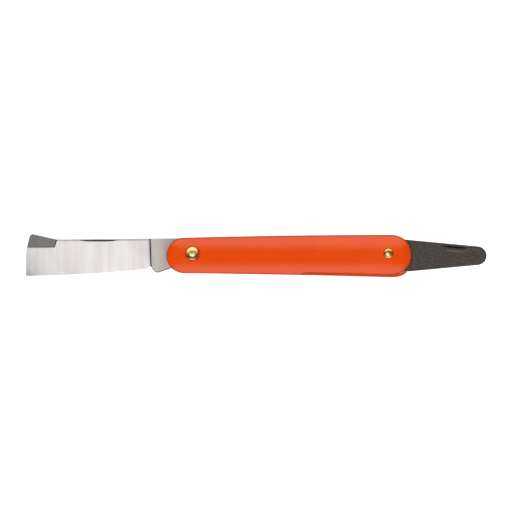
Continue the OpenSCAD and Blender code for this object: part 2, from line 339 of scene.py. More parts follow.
def plate(name, outline, top, low, bores, rings, grid, sharp, lines=(), loose=()):
    """A closed plate over an outline, between the heights top(points) and low(points).

    A bore is a centre and its profile from the top sheet to the low one: [(radius, height)].
    Its first and last heights are the sheets' own. Each line is kept as a run of edges. rings are
    depths inside the outline where points lie, and grid is the spacing of the points within them.
    """
    vertices, faces, sheets = [], [], []
    for side, height in ((0, top), (-1, low)):
        holes = [(centre, profile[side][0]) for centre, profile in bores]
        extra = sheet_points(outline, holes, loose, rings, grid)
        points, triangles = plan_sheet(outline, holes, lines, extra)
        first = len(vertices)
        vertices.extend([x, y, z] for (x, y), z in zip(points, height(points)))
        faces.extend([first + i for i in triangle] for triangle in triangles.tolist())
        sheets.append((points, triangles, finder(points, first)))
    (points, triangles, top_at), (_, _, low_at) = sheets
    in_bore = np.zeros(len(points), bool)
    for centre, profile in bores:
        in_bore |= np.linalg.norm(points - centre, axis=1) < profile[0][0] + NEAR
    for a, b in outer_edges(triangles):
        if not (in_bore[a] and in_bore[b]):
            faces.append([a, b, low_at(points[b]), low_at(points[a])])
    for centre, profile in bores:
        faces.extend(bore_faces(vertices, centre, profile, top_at, low_at))
    return make_object(name, vertices, faces, sharp)


def turned(name, centre, profile, lean):
    """A shape turned about a vertical axis, from a profile of (radius, height, share of lean).

    The profile starts and ends on the axis, or is closed. A head leans over by lean in X and Y.
    """
    vertices, loops = [], []
    for r, z, share in profile:
        first = len(vertices)
        if r < NEAR:
            vertices.append([centre[0], centre[1], z])
            loops.append([first] * TURN_STEPS)
            continue
        for i in range(TURN_STEPS):
            x, y = polar(r, 360 * i / TURN_STEPS)
            vertices.append([centre[0] + x, centre[1] + y, z - share * (lean[0] * x + lean[1] * y)])
        loops.append(list(range(first, first + TURN_STEPS)))
    if profile[0][0] > NEAR:
        loops.append(loops[0])
    return make_object(name, vertices, band_faces(loops), SHARP_TURNED)


# ---- materials

def node_adder(tree):
    """A function that adds a node to a tree, with its values and the sources of its sockets."""
    def add(kind, links=None, **values):
        node = tree.nodes.new(kind)
        for name, value in values.items():
            if hasattr(node, name):
                setattr(node, name, value)
            else:
                node.inputs[name.replace("_", " ")].default_value = value
        for socket, source in (links or {}).items():
            tree.links.new(source, node.inputs[socket])
        return node

    return add


def new_material(name):
    """A node material, its shader, and functions that add a node and join one to the shader."""
    made = bpy.data.materials.new(name)
    made.use_nodes = True
    tree = made.node_tree
    shader = tree.nodes["Principled BSDF"]

    def join(source, socket):
        tree.links.new(source, shader.inputs[socket])

    return made, shader, node_adder(tree), join


def stretched(add, scale=(1, 1, 1)):
    """Object coordinates, scaled along each axis."""
    where = add("ShaderNodeTexCoord")
    return add("ShaderNodeMapping", {"Vector": where.outputs["Object"]}, Scale=scale).outputs[0]


def ramp(add, source, stops):
    """A colour ramp through (position, colour) stops."""
    node = add("ShaderNodeValToRGB", {"Fac": source})
    elements = node.color_ramp.elements
    while len(elements) < len(stops):
        elements.new(0.5)
    for element, (position, colour) in zip(elements, stops):
        element.position = position
        element.color = (*colour, 1.0)
    return node.outputs["Color"]


def grey(value):
    return (value, value, value)


def noise(add, where, scale, detail=2.0, rough=0.5):
    """The value of a noise pattern."""
    made = add("ShaderNodeTexNoise", {"Vector": where}, Scale=scale, Detail=detail, Roughness=rough)
    return made.outputs[0]


def bump(add, height, strength, distance, over=None):
    """The normal bent by a height pattern, over another bump if one is given."""
    links = {"Height": height, "Normal": over} if over else {"Height": height}
    return add("ShaderNodeBump", links, Strength=strength, Distance=distance).outputs[0]


def product(add, first, second):
    """One colour times another."""
    mix = add("ShaderNodeMix", {"A": first, "B": second}, data_type="RGBA", blend_type="MULTIPLY",
              Factor=1.0)
    return mix.outputs["Result"]


def nylon_material():
    """Glossy moulded nylon with a faint swell and grain."""
    made, shader, add, join = new_material("orange_nylon")
    where = stretched(add)
    cloud = noise(add, where, 60.0, 3.0, 0.55)
    join(ramp(add, cloud, [(0.3, (0.84, 0.070, 0.0015)), (0.7, (0.90, 0.080, 0.0025))]), "Base Color")
    grain = noise(add, where, 2600.0, 4.0, 0.6)
    join(ramp(add, grain, [(0.3, grey(0.12)), (0.75, grey(0.20))]), "Roughness")
    fine = bump(add, grain, 0.10, 0.00004)
    join(bump(add, noise(add, where, 420.0), 0.08, 0.0002, over=fine), "Normal")
    shader.inputs["IOR"].default_value = 1.47
    shader.inputs["Specular Tint"].default_value = (1.0, 0.98, 0.82, 1.0)
    return made


def ground_steel(name, tones, rough, band_strength, shading_stops=None):
    """Steel ground across its length. tones are three base colours, from the darkest.

    Stops, if given, darken it along the blade, towards the tip and as painted shade by the plunge:
    [(millimetres along X, share)].
    """
    made, shader, add, join = new_material(name)
    shader.inputs["Metallic"].default_value = 1.0
    bands = noise(add, stretched(add, (1, 0.09, 0.2)), 300.0, 3.0, 0.6)
    streaks = noise(add, stretched(add, (1, 0.05, 0.3)), 4200.0, 3.0, 0.6)
    tint = noise(add, stretched(add, (1, 0.35, 1)), 420.0)
    base = ramp(add, bands, list(zip((0.3, 0.52, 0.74), tones)))
    cast = ramp(add, tint, [(0.3, (1.0, 0.965, 0.97)), (0.7, (0.985, 0.985, 0.975))])
    colour = product(add, base, cast)
    if shading_stops:
        colour = shaded_along_blade(add, colour, shading_stops)
    join(colour, "Base Color")
    join(ramp(add, streaks, [(0.3, grey(rough)), (0.7, grey(rough + 0.12))]), "Roughness")
    wave = bump(add, bands, band_strength, 0.0002)
    join(bump(add, streaks, 0.2, 0.00004, over=wave), "Normal")
    return made


def shaded_along_blade(add, colour, shading_stops):
    """The colour times a share that changes along the blade, on a slant and unevenly: darker towards
    the tip, and painted shade by the plunge.
    """
    where = stretched(add)
    split = add("ShaderNodeSeparateXYZ", {"Vector": where})
    shift = add("ShaderNodeMapRange", {"Value": noise(add, where, 110.0)}, From_Min=0.3, From_Max=0.7,
                To_Min=-0.002, To_Max=0.002)
    slant = add("ShaderNodeMath", {0: split.outputs["Y"], 2: split.outputs["X"]},
                operation="MULTIPLY_ADD")
    slant.inputs[1].default_value = SHADING_SLANT
    place = add("ShaderNodeMath", {0: slant.outputs[0], 1: shift.outputs[0]}, operation="ADD")
    start, end = shading_stops[0][0] * MM, shading_stops[-1][0] * MM
    share = add("ShaderNodeMapRange", {"Value": place.outputs[0]}, From_Min=start, From_Max=end)
    stops = [((x * MM - start) / (end - start), grey(left)) for x, left in shading_stops]
    return product(add, colour, ramp(add, share.outputs[0], stops))


def dull_steel(name, low, high, rough):
    """Steel coarser and darker than the blade's faces, as the wheel or the die left it. Its darkest
    copies are painted shade.
    """
    made, shader, add, join = new_material(name)
    shader.inputs["Metallic"].default_value = 1.0
    streaks = noise(add, stretched(add, (1, 0.08, 0.3)), 2600.0, 4.0, 0.6)
    join(ramp(add, streaks, [(0.3, low), (0.72, high)]), "Base Color")
    join(ramp(add, streaks, [(0.3, grey(rough)), (0.7, grey(rough + 0.12))]), "Roughness")
    join(bump(add, streaks, 0.3, 0.00005), "Normal")
    return made


def lifter_material():
    """Dark satin tongue with a fine mineral speckle."""
    made, _, add, join = new_material("dark_speckled_lifter")
    where = stretched(add)
    speck = noise(add, where, 1900.0, 4.0, 0.75)
    cloud = noise(add, where, 240.0, 3.0)
    base = ramp(add, speck, [(0.34, (0.016, 0.013, 0.011)), (0.50, (0.052, 0.043, 0.038)),
                             (0.66, (0.125, 0.104, 0.092))])
    cast = ramp(add, cloud, [(0.3, (1.0, 0.93, 0.93)), (0.7, (0.94, 1.0, 0.95))])
    join(product(add, base, cast), "Base Color")
    join(ramp(add, speck, [(0.3, grey(0.5)), (0.7, grey(0.62))]), "Roughness")
    join(bump(add, speck, 0.2, 0.00006), "Normal")
    return made


def brass(name, low, high, rough, dent):
    """Polished brass with the soft dents of peening."""
    made, shader, add, join = new_material(name)
    shader.inputs["Metallic"].default_value = 1.0
    where = stretched(add)
    cloud = noise(add, where, 900.0, 3.0, 0.6)
    join(ramp(add, cloud, [(0.3, low), (0.7, high)]), "Base Color")
    join(ramp(add, cloud, [(0.3, grey(rough)), (0.75, grey(rough + 0.12))]), "Roughness")
    join(bump(add, noise(add, where, 900.0, 1.5), dent, 0.0002), "Normal")
    return made


def sheet_steel(name, low, high, stretch):
    """Rolled or ground sheet steel, its scratches along one axis."""
    made, shader, add, join = new_material(name)
    shader.inputs["Metallic"].default_value = 1.0
    streaks = noise(add, stretched(add, stretch), 3000.0, 3.0, 0.6)
    join(ramp(add, streaks, [(0.3, low), (0.7, high)]), "Base Color")
    join(ramp(add, streaks, [(0.3, grey(0.42)), (0.7, grey(0.56))]), "Roughness")
    join(bump(add, streaks, 0.2, 0.00003), "Normal")
    return made


def floor_material():
    """Matt and pale, with a glow that lifts the floor to white."""
    made, shader, add, join = new_material("pale_floor")
    cloud = noise(add, stretched(add), 3.0)
    join(ramp(add, cloud, [(0.3, grey(0.90)), (0.7, grey(0.92))]), "Base Color")
    shader.inputs["Roughness"].default_value = 0.9
    shader.inputs["Emission Color"].default_value = (1.0, 1.0, 1.0, 1.0)
    shader.inputs["Emission Strength"].default_value = 0.8
    return made


NYLON = nylon_material()
TIP_X = BLADE_LOW[0]
SHADING_SLANT = 0.9
# Share of the blade's colour kept along X: darker towards the tip, and painted shade by the plunge
BLADE_SHADING = [(TIP_X - 8, 0.50), (TIP_X - 3, 0.72), (TIP_X + 3, 0.86), (TIP_X + 9, 0.93),
              (TIP_X + 13, 0.90), (TIP_X + 21, 0.96), (TIP_X + 30, 1.0), (TIP_X + 48, 1.0),
              (TIP_X + 51, 0.97), (TIP_X + 55, 0.90)]
BLADE_TONES = ((0.81, 0.78, 0.775), (0.875, 0.855, 0.85), (0.93, 0.91, 0.91))
TANG_TONES = ((0.61, 0.585, 0.56), (0.68, 0.655, 0.625), (0.75, 0.72, 0.69))
BLADE_STEEL = ground_steel("ground_blade_steel", BLADE_TONES, 0.50, 0.16, BLADE_SHADING)
TANG_STEEL = ground_steel("satin_tang_steel", TANG_TONES, 0.60, 0.05)
FACET_STEEL = dull_steel("dull_facet_steel", (0.19, 0.178, 0.170), (0.31, 0.288, 0.276), 0.42)
# Painted shade: near-black steel on the blade's plunge, nail nick and tang chamfer
SHADE_PAINTED_STEEL = dull_steel("painted_shade_steel", (0.07, 0.06, 0.052), (0.12, 0.104, 0.090), 0.5)
LIFTER_DARK = lifter_material()
# Painted shade on the wall of the lifter's nail nick
NICK_WALL_SHADE = dull_steel("painted_shade_nick_wall", (0.012, 0.010, 0.009), (0.03, 0.026, 0.023), 0.6)
NICK_BRIGHT = dull_steel("worn_nick_rim", (0.13, 0.115, 0.105), (0.24, 0.215, 0.20), 0.5)
BRASS = brass("domed_brass", (0.86, 0.53, 0.155), (0.98, 0.71, 0.30), 0.22, 0.15)
PEENED_BRASS = brass("peened_brass", (0.72, 0.44, 0.12), (0.95, 0.67, 0.27), 0.26, 0.3)
LINER_STEEL = sheet_steel("rolled_liner_steel", (0.76, 0.75, 0.74), (0.88, 0.87, 0.86), (0.08, 1, 1))
SPRING_STEEL = sheet_steel("ground_spring_steel", (0.50, 0.495, 0.485), (0.64, 0.635, 0.625),
                           (0.05, 1, 1))


# ---- handle

def belly(x, raise_by):
    """Height of the handle's lower edge at x, raised over the thumb relief."""
    t = (x - HEEL_C[0]) / (NOSE_C[0] - HEEL_C[0])
    heel_low = HEEL_C[1] - HEEL_R
    nose_low = NOSE_C[1] - NOSE_HALF
    relief = raise_by * smooth_step((x - RELIEF_X) / RELIEF_RAMP)
    return heel_low + t * (nose_low - heel_low) + 4 * BELLY_BOW * t * (1 - t) + relief


def handle_outline(raise_by, low_power):
    """Outline of one scale, anticlockwise from the heel's top. low_power shapes its nose's low half."""
    points = arc(HEEL_C, HEEL_R, 90, 270, 60)
    along = np.arange(HEEL_C[0] + 1.5 * BELLY_STEP, NOSE_C[0], BELLY_STEP)
    points += [np.array([x, belly(x, raise_by)]) for x in along]
    for step in range(-45, 46):
        turn = math.radians(step * 2)
        half = NOSE_HALF - (raise_by if step < 0 else 0)
        power = low_power if step < 0 else NOSE_POWER
        across = math.copysign(abs(math.sin(turn)) ** power, turn)
        out = max(math.cos(turn), 0) ** power
        points.append(NOSE_C + (NOSE_HALF * out, half * across))
    points += bow(NOSE_C + (0, NOSE_HALF), HEEL_C + (0, HEEL_R), -BACK_BOW, 90)
    return np.array(points)


def draft_drop(points, outline, width):
    """How far the strip that the thumb relief lays bare has fallen towards the outline."""
    depth = np.clip(width - distance_to(points, outline), 0, width)
    bare = smooth_step((points[:, 0] - RELIEF_X) / RELIEF_RAMP) * (points[:, 1] < NOSE_C[1])
    return depth * bare * math.tan(math.radians(RELIEF_DRAFT))


def round_drop(depth, radius):
    """How far a rounded edge has fallen at a depth inwards from it."""
    left = np.clip(radius - depth, 0, radius)
    return radius - np.sqrt(radius * radius - left * left)


def scale_drop(points, outline, bores):
    """How far a scale's face lies below its crown."""
    across = points[:, 1] - NOSE_C[1]
    raw = CROWN_R - np.sqrt(CROWN_R ** 2 - across ** 2) - CROWN_DROP
    crown = 0.5 * (raw + np.sqrt(raw ** 2 + CROWN_EASE ** 2))
    end = np.minimum(points[:, 0] - REAR_LOW[0], REAR_HIGH[0] - points[:, 0])
    left = np.clip(END_FALL_IN - end, 0, END_FALL_IN)
    fall = END_FALL_R - np.sqrt(END_FALL_R ** 2 - left ** 2)
    drop = (crown ** FALL_POWER + fall ** FALL_POWER) ** (1 / FALL_POWER)
    drop = drop + round_drop(distance_to(points, outline), EDGE_ROUND)
    for centre, radius in bores:
        gap = np.linalg.norm(points - centre, axis=1) - radius
        drop = drop + round_drop(np.maximum(gap, 0), BORE_ROUND)
    return drop


def scale(name, node, face, crown, raise_by, low_power, draft):
    """One crowned scale. face is the height of its inner face, crown of its crown.

    raise_by is the depth of its thumb relief, and draft the width of the bare strip on its inner face.
    """
    outward = math.copysign(1, crown - face)
    outline = handle_outline(raise_by, low_power)
    bores = []
    for centre, rivet in ((BLADE_AT, BLADE_RIVET), (LIFTER_AT, LIFTER_RIVET)):
        seat = crown - outward * (HEAD_BELOW + rivet["seat"])
        hole = rivet["pin"] + PIN_FIT
        profile = [(rivet["bore"], None), (rivet["bore"], seat), (hole, seat), (hole, None)]
        bores.append((centre, profile))
    rims = [(centre, profile[0][0]) for centre, profile in bores]

    def outer(points):
        return crown - outward * scale_drop(points, outline, rims)

    def inner(points):
        return face + outward * draft_drop(points, outline, draft)

    edge_rings = [EDGE_ROUND * (1 - math.cos(math.radians(turn))) for turn in EDGE_TURNS]
    made = plate(name, outline, outer, inner, bores, edge_rings + CROWN_RINGS, grid=1.1, sharp=40)
    made.data.materials.append(NYLON)
    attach(made, "handle")
    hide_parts(node)


scale("front_scale_shell", "front_scale", FRONT_LOW[2], FRONT_HIGH[2], RELIEF, FRONT_POWER, 0.0)
scale("rear_scale_shell", "rear_scale", REAR_HIGH[2], REAR_LOW[2], 0.0, REAR_POWER, RELIEF)


# ---- rivets

# Heads are sunk a little below their CAD solids' tops, which leaves room for their lean
COLLAR_SUNK = 0.06
COLLAR_RIM = 0.14  # radius of a collar's rounded rim
RIM_LIFT = 0.4  # of that radius
GROOVE_DEPTH = 1.2  # of the groove's width
PIN_SUNK = 0.1
PEEN_IN = 0.1  # from a pin's side to its dome
PEEN_STEPS = 6
SHANK_DROP = 0.03  # from the dome's rim to the shank
SHANK_IN = 0.02  # the shank's eased corner, and its height
SHANK_EASE = 0.08
UPRIGHT_BELOW = 1.4  # where a shank stops leaning, below its end
METAL_PIECES = []  # the pieces that the metal softbox lights


def dome_profile(radius, rise, top, outward, start, steps=10):
    """Profile over a round dome, from the radius start out to its rim."""
    ball = (radius ** 2 + rise ** 2) / (2 * rise)
    found = []
    for i in range(steps + 1):
        r = start + (radius - start) * i / steps
        found.append((r, top - outward * (ball - math.sqrt(ball ** 2 - r ** 2)), outward))
    return found


def collar(name, node, centre, rivet, top, outward):
    """A domed collar with a rounded rim, and a groove where its pin is peened over."""
    rim, hole, groove = rivet["collar"], rivet["pin"] + PIN_FIT, rivet["groove"]
    seat = top - outward * rivet["seat"]
    dome = dome_profile(rim, rivet["dome"], top - outward * COLLAR_SUNK, outward, hole + groove)
    rim_z = dome.pop()[1]
    profile = [(hole, dome[0][1] - outward * groove * GROOVE_DEPTH, outward)] + dome
    for degrees in (0, 22, 45, 67, 90):
        turn = math.radians(degrees)
        r = rim - COLLAR_RIM * (1 - math.sin(turn))
        z = rim_z - outward * COLLAR_RIM * (RIM_LIFT - math.cos(turn))
        profile.append((r, z, outward * math.cos(turn)))
    profile += [(rim, seat, 0), (hole, seat, 0)]
    made = turned(name, centre, profile, rivet["lean"])
    made.data.materials.append(BRASS)
    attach(made, "handle")
    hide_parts(node)


def pin_end(rivet, end, outward):
    """Profile of one end of a pin, over its peened dome to where its shank stands upright."""
    r = rivet["pin"]
    rim = PIN_SUNK + rivet["peen"] + SHANK_DROP
    peened = dome_profile(r - PEEN_IN, rivet["peen"], end - outward * PIN_SUNK, outward, 0, PEEN_STEPS)
    return peened + [(r - SHANK_IN, end - outward * rim, outward),
                     (r, end - outward * (rim + SHANK_EASE), outward),
                     (r, end - outward * UPRIGHT_BELOW, 0)]


def pin(name, node, centre, rivet):
    """A rivet's pin, with a peened dome at both ends."""
    low, high = box_mm(node)
    profile = pin_end(rivet, high[2], 1) + pin_end(rivet, low[2], -1)[::-1]
    made = turned(name, centre, profile, rivet["pin_lean"])
    made.data.materials.append(PEENED_BRASS)
    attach(made, "handle")
    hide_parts(node)
    METAL_PIECES.append(made)


for tool, centre, rivet in (("blade", BLADE_AT, BLADE_RIVET), ("lifter", LIFTER_AT, LIFTER_RIVET)):
    pin(f"{tool}_rivet_pin", f"{tool}_rivet", centre, rivet)
    collar(f"{tool}_rivet_front_collar", f"{tool}_rivet_collar_front", centre, rivet,
           FRONT_HIGH[2] - HEAD_BELOW, 1)
    collar(f"{tool}_rivet_rear_collar", f"{tool}_rivet_collar_rear", centre, rivet,
           REAR_LOW[2] + HEAD_BELOW, -1)


# ---- blade

# Outline: tang, spine, hump, square end, cutting edge, choil and kick
TANG_FLAT = 4.0
CAM_RISE = 0.6
SHOULDER = 4.0
HUMP_R = 1.4
SPINE_END = BLADE_AT + (-SHOULDER, 6.85)
HUMP_FOOT = BLADE_AT + (-61.3, 6.3)
HUMP_C = np.array([BLADE_LOW[0] + 3.04, BLADE_HIGH[1] - HUMP_R])
FRONT_MID = np.array([BLADE_LOW[0] + 0.1, BLADE_AT[1] - 1.5])
TIP_END = np.array([BLADE_LOW[0], BLADE_AT[1] - 10.15])
EDGE_END = BLADE_AT + (-20.3, -6.9)
CHOIL = BLADE_AT + (-19.35, -5.55)
KICK_C = BLADE_AT + (-15.6, -5.6)
KICK_R = 3.0
EDGE_LINE = bow(TIP_END, EDGE_END, -0.6, 60)
PAST_EDGE = [TIP_END + (-1.0, -0.06)] + EDGE_LINE + [EDGE_END + (4, 0.24)]
SPINE_LINE = [SPINE_END, HUMP_FOOT]

# Front face: a one-sided grind with a micro bevel, which runs out at the plunge
EDGE_T = 0.1
GRIND_LOW = 0.3
GRIND_SLOPE = 0.12
MICRO_BEVEL = 0.24
PLUNGE_LOW = BLADE_AT + (-18.45, -6.3)
PLUNGE_HIGH = BLADE_AT + (-18.95, 7.2)
PLUNGE_W = 0.6
RUN_OUT = 2.0
RUN_OUT_RISE = 0.28

# Hump's bevel, from its foot line up
FACET_AT = BLADE_AT + (-62.05, 2.6)
FACET_SIDE = BLADE_AT + (-60.7, 7.5)
FACET_TILT = 11.0
FACET_WALL = 0.4
FACET_RUN_OUT = 4 * FACET_WALL
FACET_RUN_OUT_RISE = 0.18
FACET_FACE = GRIND_LOW + GRIND_SLOPE * 12.5
ON_LINE = 1e-6

# Nail nicks. at is the middle of the wall, and face_slope the slope of the face that is cut
NICK_LEAN = 30.0
BLADE_NICK = {"at": BLADE_AT + (-42.4, 6.1), "length": 17.8, "depth": 0.45, "turn": 0.0,
              "face_slope": GRIND_SLOPE}
NICK_FACE = GRIND_LOW + GRIND_SLOPE * 14.87
NICK_GRID = 0.3

# Edges: chamfer below the tang, soft corners away from the cutting edge, flat strip at the spine
TANG_CHAMFER = 0.34
TANG_CHAMFER_SLOPE = 1.2
TANG_EDGE_END = BLADE_AT[0] - 3
TANG_EDGE_POINTS = 40
FRONT_ROUND = 0.12
REAR_ROUND = 0.08
EDGE_KEEP = 1.0
SPINE_W = 0.85
BLADE_RINGS = [0.03, 0.07, 0.12, TANG_CHAMFER, 0.8, 1.4]


def cam_points(flat, turn_shut, mirrored):
    """Arc of a tang's cam between its two flats, about the pivot."""
    cam_r = flat + CAM_RISE
    turn = math.degrees(math.acos(flat / cam_r))
    if mirrored:
        return arc(np.zeros(2), cam_r, 90 + turn_shut - turn, 90 + turn, 20)
    return arc(np.zeros(2), cam_r, 90 - turn_shut + turn, 90 - turn, 20)


def swing(joint):
    """How far a joint turns to shut its tool."""
    return JOINTS[joint]["range_deg"][1]


def blade_outline():
    """Outline of the blade, anticlockwise from its shoulder."""
    shut = 90 - swing("blade_fold")
    kick = arc(KICK_C, KICK_R, 190, 275, 16)
    flat_end = BLADE_AT + polar(TANG_FLAT, shut) + polar(-6.9, shut + 90)
    cam = [BLADE_AT + p for p in cam_points(TANG_FLAT, swing("blade_fold"), False)]
    corner = BLADE_AT + (-SHOULDER, TANG_FLAT)
    points = [corner, SPINE_END]
    points += straight(SPINE_END, HUMP_FOOT, 60) + [HUMP_FOOT]
    hump = arc(HUMP_C, HUMP_R, 76, 165, 14)
    points += straight(HUMP_FOOT, hump[0], 12) + hump
    points += bow(hump[-1], FRONT_MID, -0.28, 10) + [FRONT_MID]
    points += straight(FRONT_MID, TIP_END, 10)
    points += [TIP_END] + EDGE_LINE + [EDGE_END]
    points += straight(EDGE_END, CHOIL, 3) + [CHOIL] + straight(CHOIL, kick[0], 3) + kick
    points += straight(kick[-1], flat_end, 10) + [flat_end]
    points += straight(flat_end, cam[0], 8) + cam + straight(cam[-1], corner, 6)
    return np.array(points)


def nick_chord(along, nick):
    """Depth of a nail nick, square to its lean, at a distance along it from its middle."""
    return nick["depth"] * (1 - (along / (nick["length"] / 2)) ** 4)


def nick_reach(along, nick):
    """How far a nail nick spreads from its wall's top, at a distance along it from its middle."""
    lean = math.radians(NICK_LEAN)
    return nick_chord(along, nick) / math.cos(lean) / (math.tan(lean) + nick["face_slope"])


def nick_place(points, nick):
    """How far each point lies along a nail nick and across it, from the middle of its wall."""
    turn = math.radians(nick["turn"])
    gap = points - nick["at"]
    along = gap[:, 0] * math.cos(turn) + gap[:, 1] * math.sin(turn)
    across = -gap[:, 0] * math.sin(turn) + gap[:, 1] * math.cos(turn)
    return along, across


def nick_height(points, nick, face):
    """Height of a nail nick's floor or steep wall, cut into a face at height face.

    Beyond its ends the height is far above the face.
    """
    lean = math.radians(NICK_LEAN)
    along, across = nick_place(points, nick)
    floor = face - nick_chord(along, nick) / math.cos(lean) - across * math.tan(lean)
    wall = face + across / math.tan(lean)
    return np.where(np.abs(along) < nick["length"] / 2, np.maximum(floor, wall), face + 9)


def nick_lines(nick, rim=0.0):
    """Edges of a nail nick in the plan: its straight wall, its deepest line and its round side.

    A rim adds one more line, that far inside the round side.
    """
    half = nick["length"] / 2
    lean = math.radians(NICK_LEAN)
    turn = math.radians(nick["turn"])
    side = np.array([[math.cos(turn), math.sin(turn)], [-math.sin(turn), math.cos(turn)]])
    along = half * np.sin(np.linspace(-math.pi / 2, math.pi / 2, 61))
    chord = nick_chord(along, nick)
    wall = np.stack([along, np.zeros_like(along)], axis=1)
    deep = np.stack([along, -chord * math.sin(lean)], axis=1)[3:-3]
    far = np.stack([along, -nick_reach(along, nick)], axis=1)[1:-1]
    runs = [wall, deep, far]
    if rim:
        runs.append((far + (0, rim))[8:-8])
    return [nick["at"] + run @ side for run in runs]


def past_plunge(points):
    """How far each point lies to the right of the line where the plunge meets the tang."""
    along = (PLUNGE_HIGH - PLUNGE_LOW) / np.linalg.norm(PLUNGE_HIGH - PLUNGE_LOW)
    return (points - PLUNGE_LOW) @ np.array([along[1], -along[0]])


def plunge_share(points):
    """0 on the blade's ground face, 1 on its tang, and between them on the plunge."""
    return smooth_step((past_plunge(points) + PLUNGE_W) / PLUNGE_W)


def blade_face(points, base):
    """Heights of the blade's ground front face, over its rear face at height base."""
    thick = BLADE_HIGH[2] - BLADE_LOW[2]
    above = distance_to(points, PAST_EDGE, closed=False)
    spine = np.clip(SPINE_W - distance_to(points, SPINE_LINE, closed=False), 0, SPINE_W)
    run_out = np.clip((past_plunge(points) + PLUNGE_W + RUN_OUT) / RUN_OUT, 0, 1) ** 2
    rise = RUN_OUT_RISE * run_out * np.clip(above / RUN_OUT, 0, 1)
    ground = GRIND_LOW + GRIND_SLOPE * (above - spine) + rise
    bevel = EDGE_T + (GRIND_LOW + GRIND_SLOPE * MICRO_BEVEL - EDGE_T) * above / MICRO_BEVEL
    height = np.minimum(ground, bevel)
    height = np.minimum(height, nick_height(points, BLADE_NICK, NICK_FACE))
    height = height + (thick - height) * plunge_share(points)
    return base + np.minimum(height, thick)


def facet_place(points):
    """How far each point lies to the left of the bevel's side line, and above its foot line."""
    side = (FACET_SIDE - FACET_AT) / np.linalg.norm(FACET_SIDE - FACET_AT)
    gap = points - FACET_AT
    return side[0] * gap[:, 1] - side[1] * gap[:, 0], gap[:, 1]


def in_facet(points):
    """True where the hump's bevel cuts the blade's face."""
    left, above = facet_place(points)
    return (left > -ON_LINE) & (above > -ON_LINE)


def facet_height(points, base):
    """Heights of the hump's bevel, which runs up to the blade's face at its right end."""
    left, above = facet_place(points)
    run_out = np.clip(1 - left / FACET_RUN_OUT, 0, 1) ** 2 * FACET_RUN_OUT_RISE
    return base + FACET_FACE - above * math.tan(math.radians(FACET_TILT)) + run_out


def line_from(start, direction, low, high, steps):
    """Points along a direction from a start, between two distances."""
    unit = direction / np.linalg.norm(direction)
    return np.array([start + unit * t for t in np.linspace(low, high, steps)])


def blade_lines():
    """Creases of the blade's face: its plunge and run-out, hump's bevel, spine and nail nick."""
    up = PLUNGE_HIGH - PLUNGE_LOW
    left = np.array([-up[1], up[0]]) / np.linalg.norm(up)
    side = FACET_SIDE - FACET_AT
    lines = []
    shifts = [PLUNGE_W * share for share in (0, 0.2, 0.4, 0.6, 0.8, 1)]
    shifts += [PLUNGE_W + RUN_OUT * share for share in (0.2, 0.4, 0.6, 0.8, 1)]
    for shift in shifts:
        lines.append(line_from(PLUNGE_LOW + left * shift, up, -1.5, 15, 60))
    for shift in (0, FACET_WALL, 2.2 * FACET_WALL):
        start = FACET_AT - (shift, 0)
        lines.append(line_from(start, side, 0, 5, 24))
    lines.append(line_from(FACET_AT, np.array([-1.0, 0.0]), 0, 14, 44))
    drop = np.array([0, -SPINE_W])
    lines.append(np.linspace(SPINE_END + drop, HUMP_FOOT + drop, 60)[1:])
    return lines + nick_lines(BLADE_NICK)


def in_nick(points, nick):
    """True inside a nail nick's outline."""
    along, across = nick_place(points, nick)
    return (across < 0) & (across > -nick_reach(along, nick))


def on_nick_wall(points, nick):
    """True over a nail nick's steep wall."""
    along, across = nick_place(points, nick)
    deepest = -nick_chord(along, nick) * math.sin(math.radians(NICK_LEAN))
    return in_nick(points, nick) & (across > deepest)


def nick_fill(nick, low, high, outline, depth):
    """A fine grid of loose points round a nail nick, between two corners measured from its middle."""
    grid = grid_points(nick["at"] + low, nick["at"] + high, NICK_GRID)
    return keep_clear(grid, outline, [], depth, 0)


def pivot_bore(centre, rivet):
    """The bore in which a rivet's pin turns its tool."""
    return centre, [(rivet["pin"] + PIVOT_FIT, None)] * 2


def face_places(made):
    """Where each face's middle lies in the plan, and whether the face looks up."""
    plan = np.array([face.center[:2] for face in made.data.polygons]) / MM
    upward = np.array([face.normal[2] for face in made.data.polygons]) > 0.1
    return plan, upward


def paint(made, materials, kinds):
    """Gives each face the material of its kind."""
    for material in materials:
        made.data.materials.append(material)
    made.data.polygons.foreach_set("material_index", kinds.astype(np.int32))


def tang_chamfer(points, outline):
    """How far the chamfer along the tang's lower edge has fallen."""
    kick = KICK_C + polar(KICK_R, 250)
    from_kick = outline[np.argmin(np.linalg.norm(outline - kick, axis=1)):]
    tang_edge = from_kick[from_kick[:, 0] < TANG_EDGE_END][:TANG_EDGE_POINTS]
    near = distance_to(points, tang_edge, closed=False)
    return np.clip(TANG_CHAMFER - near, 0, TANG_CHAMFER) * TANG_CHAMFER_SLOPE


def blade_front(points, outline, base):
    """Heights of the blade's whole front: face, tang, hump's bevel and softened edges."""
    face = blade_face(points, base)
    share = smooth_step(facet_place(points)[0] / FACET_WALL)
    bevelled = face + (np.minimum(face, facet_height(points, base)) - face) * share
    cut = np.where(in_facet(points), bevelled, face)
    at_edge = distance_to(points, EDGE_LINE, closed=False) < EDGE_KEEP
    soft = np.where(at_edge, 0, round_drop(distance_to(points, outline), FRONT_ROUND))
    return cut - np.maximum(soft, tang_chamfer(points, outline))


def blade_kinds(made, outline):
    """The steel of each face: 0 ground, 1 the hump's bevel, 2 painted shade, 3 the tang's and the
    spine's.
    """
    plan, upward = face_places(made)
    shares = plunge_share(plan)
    # Painted shade on the plunge, the nail nick and the tang's chamfer
    dark = (shares > 0.005) & (shares < 0.995)
    dark |= in_nick(plan, BLADE_NICK)
    dark |= (tang_chamfer(plan, outline) > 0) & (plan[:, 0] > PLUNGE_LOW[0])
    spine = distance_to(plan, SPINE_LINE, closed=False) < SPINE_W
    kinds = np.where((shares > 0.5) | spine, 3, 0)
    kinds = np.where(in_facet(plan) & upward, 1, kinds)
    return np.where(dark & upward, 2, kinds)


